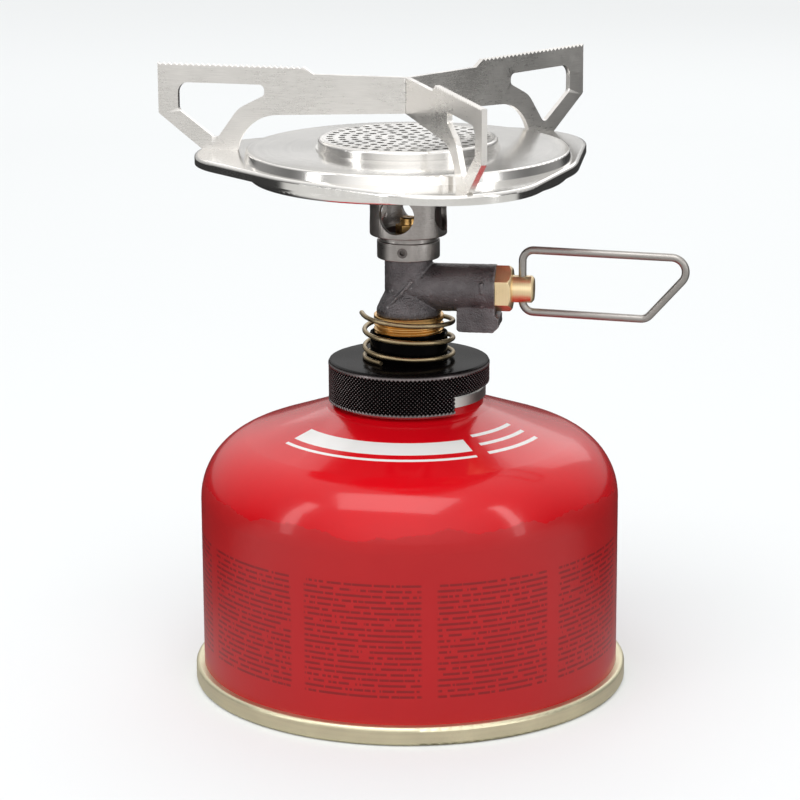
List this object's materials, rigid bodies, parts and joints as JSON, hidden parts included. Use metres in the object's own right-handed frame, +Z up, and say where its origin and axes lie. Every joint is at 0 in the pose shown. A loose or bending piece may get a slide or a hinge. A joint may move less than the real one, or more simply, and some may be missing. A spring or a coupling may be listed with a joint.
{
  "type": "camping stove",
  "caption": "Screw-on gas camping stove on its cartridge: perforated burner in a lobed drip pan, toothed pot supports, wire-handled valve and a knurled locking collar.",
  "frame": {"origin": "centre of the gas cartridge's base, on the surface it stands on", "axes": "+Z up the cartridge's axis; +X to the right as the stove is seen from the front, the side where the wire handle points; the viewer looks along +Y"},
  "size_m": [0.1081, 0.0965, 0.128],
  "materials": {
    "red_paint": "glossy lacquer over tinplate",
    "tinplate": "pale lacquered tinplate",
    "cup_steel": "bare pressed steel",
    "black_rubber": "moulded",
    "white_plastic": "moulded",
    "spring_steel": "drawn wire",
    "brass": "machined",
    "bright_steel": "turned",
    "black_anodised": "black anodised, knurled",
    "spring_brass": "plated spring wire",
    "black_casting": "blackened, as cast",
    "turned_steel": "turned",
    "dark_steel": "blackened",
    "polished_steel": "polished stainless sheet",
    "sheet_steel": "stainless sheet"
  },
  "bodies": {
    "cartridge": {"can_shell": "red_paint", "can_base": "tinplate", "valve_cup": "cup_steel", "valve_gasket": "black_rubber", "valve_housing": "white_plastic", "poppet_spring": "spring_steel"},
    "poppet": {"valve_poppet": "white_plastic"},
    "stove_rise": {"connector_o_ring": "black_rubber"},
    "stove": {"brass_connector": "brass", "actuator_pin": "bright_steel", "fuel_filter": "brass", "valve_body": "black_casting", "gland_nut": "brass", "jet": "brass", "intake_sleeve": "turned_steel", "grub_screw": "dark_steel", "burner_tube": "bright_steel", "burner_bowl": "bright_steel", "flame_spreader": "bright_steel", "burner_cap_ring": "bright_steel", "flame_grille": "bright_steel", "drip_pan": "polished_steel", "bent_pot_support": "sheet_steel", "single_pot_support": "sheet_steel"},
    "collar_rise": {"collar_spring": "spring_brass"},
    "collar": {"locking_collar": "black_anodised"},
    "valve_rise": {"spindle_o_ring": "black_rubber"},
    "valve_stem": {"spindle": "brass"},
    "handle": {"wire_handle": "bright_steel"}
  },
  "joints": [
    {"name": "poppet_travel", "type": "slide", "parent": "cartridge", "child": "poppet", "axis": [0, 0, 1], "range_m": [0, 0.00115], "deforming": ["poppet_spring"]},
    {"name": "stove_lift", "type": "slide", "parent": "cartridge", "child": "stove_rise", "axis": [0, 0, 1], "range_m": [0, 0.00636]},
    {"name": "stove_unscrew", "type": "hinge", "parent": "stove_rise", "child": "stove", "pos_m": [0, 0, 0.065], "axis": [0, 0, 1], "range_deg": [0, 2520]},
    {"name": "collar_lift", "type": "slide", "parent": "stove", "child": "collar_rise", "axis": [0, 0, 1], "range_m": [0, 0.00301], "deforming": ["collar_spring"]},
    {"name": "collar_turn", "type": "hinge", "parent": "collar_rise", "child": "collar", "pos_m": [0, 0, 0.066], "axis": [0, 0, 1], "range_deg": [0, 1080]},
    {"name": "valve_draw", "type": "slide", "parent": "stove", "child": "valve_rise", "axis": [0.9903, -0.1392, 0], "range_m": [0, 0.00226]},
    {"name": "valve_turn", "type": "hinge", "parent": "valve_rise", "child": "valve_stem", "pos_m": [0, 0, 0.0834], "axis": [0.9903, -0.1392, 0], "range_deg": [0, 1080]},
    {"name": "handle_fold", "type": "hinge", "parent": "valve_stem", "child": "handle", "pos_m": [0.02327, -0.00327, 0.0834], "axis": [0, 0, 1], "range_deg": [-84, 96]}
  ],
  "couplings": [
    {"joint": "stove_lift", "follows": "stove_unscrew", "m_per_rad": 0.00014437},
    {"joint": "poppet_travel", "follows": "stove_unscrew", "m_per_rad": 0.0000259},
    {"joint": "collar_lift", "follows": "collar_turn", "m_per_rad": 0.00015915},
    {"joint": "valve_draw", "follows": "valve_turn", "m_per_rad": 0.00011937}
  ]
}
